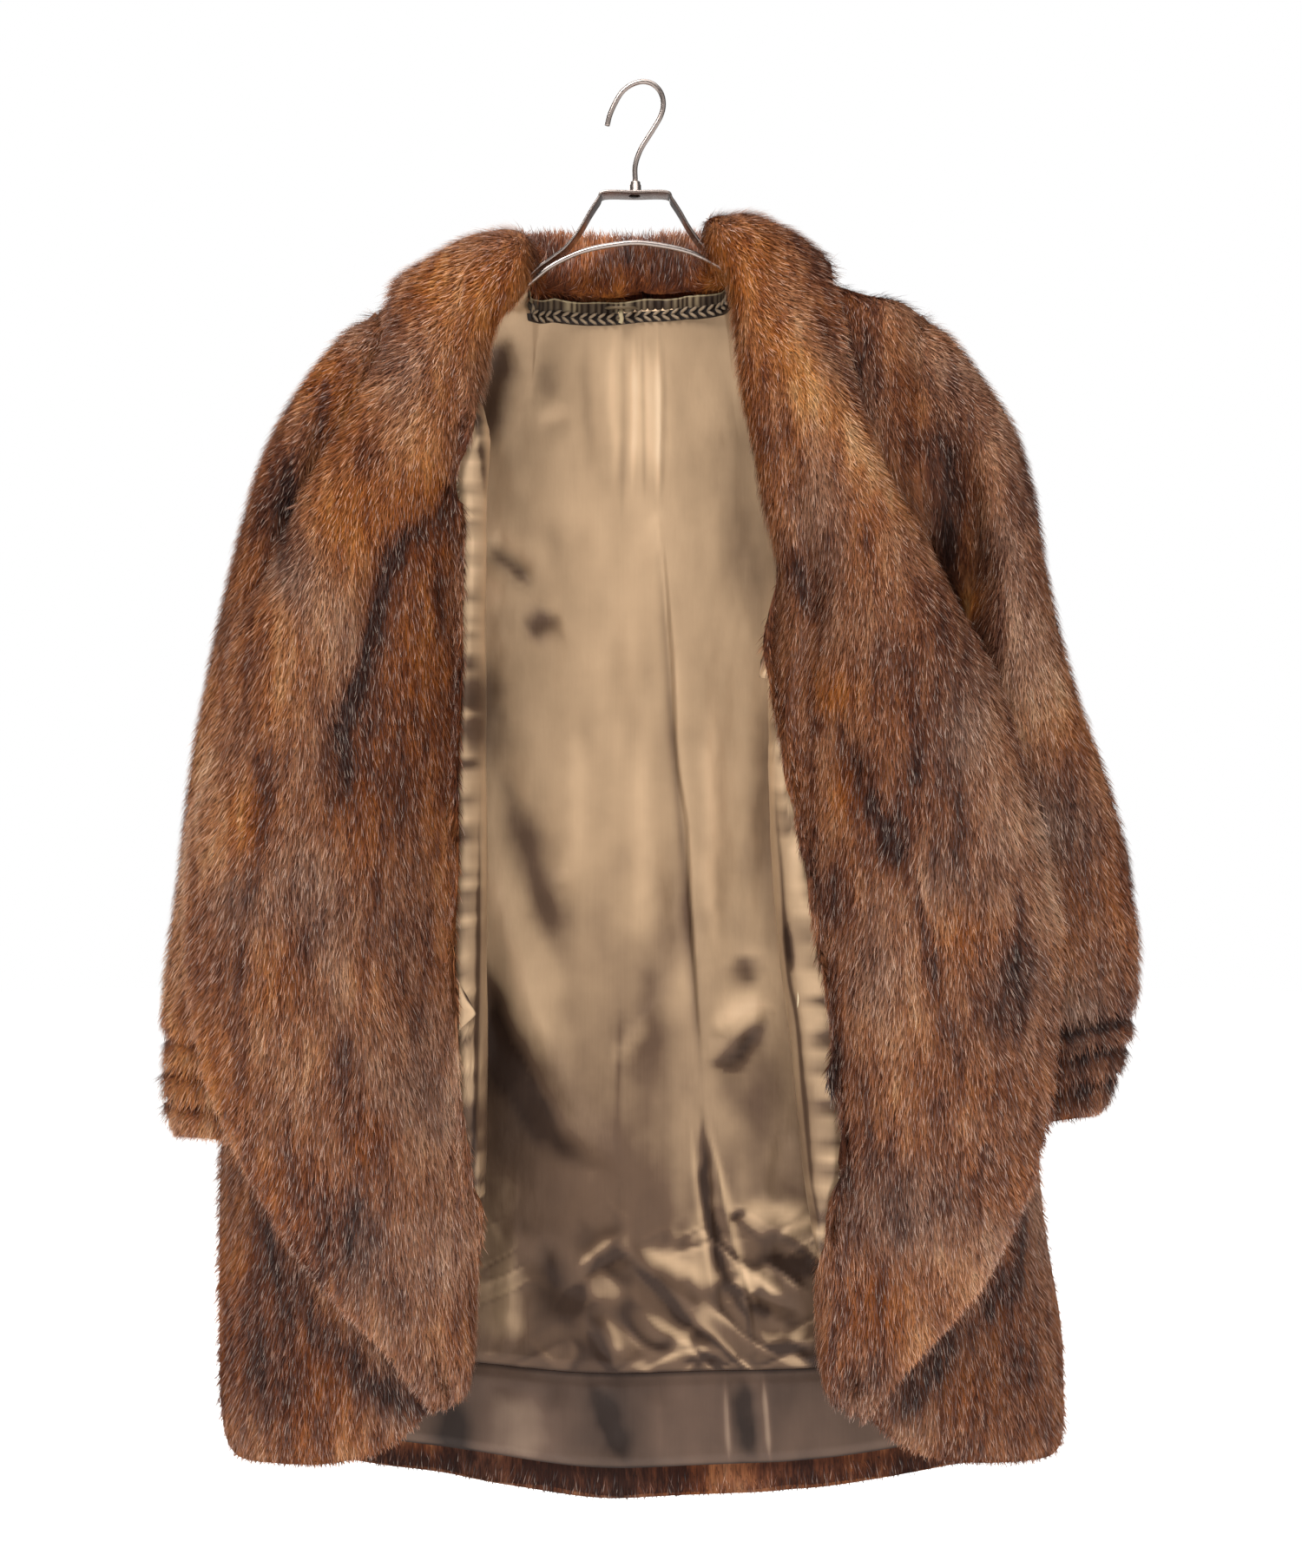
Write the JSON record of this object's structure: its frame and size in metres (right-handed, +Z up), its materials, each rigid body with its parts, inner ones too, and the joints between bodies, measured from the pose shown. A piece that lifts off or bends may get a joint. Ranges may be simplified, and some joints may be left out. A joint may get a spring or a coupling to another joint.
{
  "type": "fur coat on clothes hanger",
  "caption": "Three-quarter-length fur coat with a shawl collar, hung open on a steel clothes hanger with both fronts turned back over the satin lining.",
  "frame": {"origin": "inside top of the hanger's hook, where it rests on the rail", "axes": "+Z up, the open front looks along -Y, +X is the viewer's right"},
  "size_m": [0.7167, 0.2181, 1.0746],
  "materials": {
    "fur_outer": "mink-like brown fur outside, dense underfur with glossy guard hairs pointing down",
    "fur_facing": "the same fur on shawl collar and facing, lighter and more orange, glossy guard hairs",
    "satin": "olive-tan satin lining, soft sheen, loose and wrinkled",
    "satin_band": "greyer satin band along the hem",
    "satin_ruched": "satin gathered into a narrow ruched band",
    "braid": "woven chevron braid and folded satin hanging loop",
    "steel": "bright nickel-plated steel strip and wire"
  },
  "bodies": {
    "root": {"back": "fur_outer", "front_left": "fur_outer", "front_right": "fur_outer", "flap_left": "fur_outer", "flap_right": "fur_outer", "sleeve_left_front": "fur_outer", "sleeve_left_back": "fur_outer", "sleeve_right_front": "fur_outer", "sleeve_right_back": "fur_outer", "shawl_left": "fur_facing", "shawl_right": "fur_facing", "lining_back": "satin", "lining_front_left": "satin", "lining_front_right": "satin", "tab_left": "satin", "tab_right": "satin", "hem_band": "satin_band", "neck_band": "satin_ruched", "neck_braid": "braid", "hanger_loop": "braid", "hanger_hook": "steel", "hanger_ferrule": "steel", "hanger_band": "steel", "hanger_bar": "steel"}
  },
  "joints": []
}
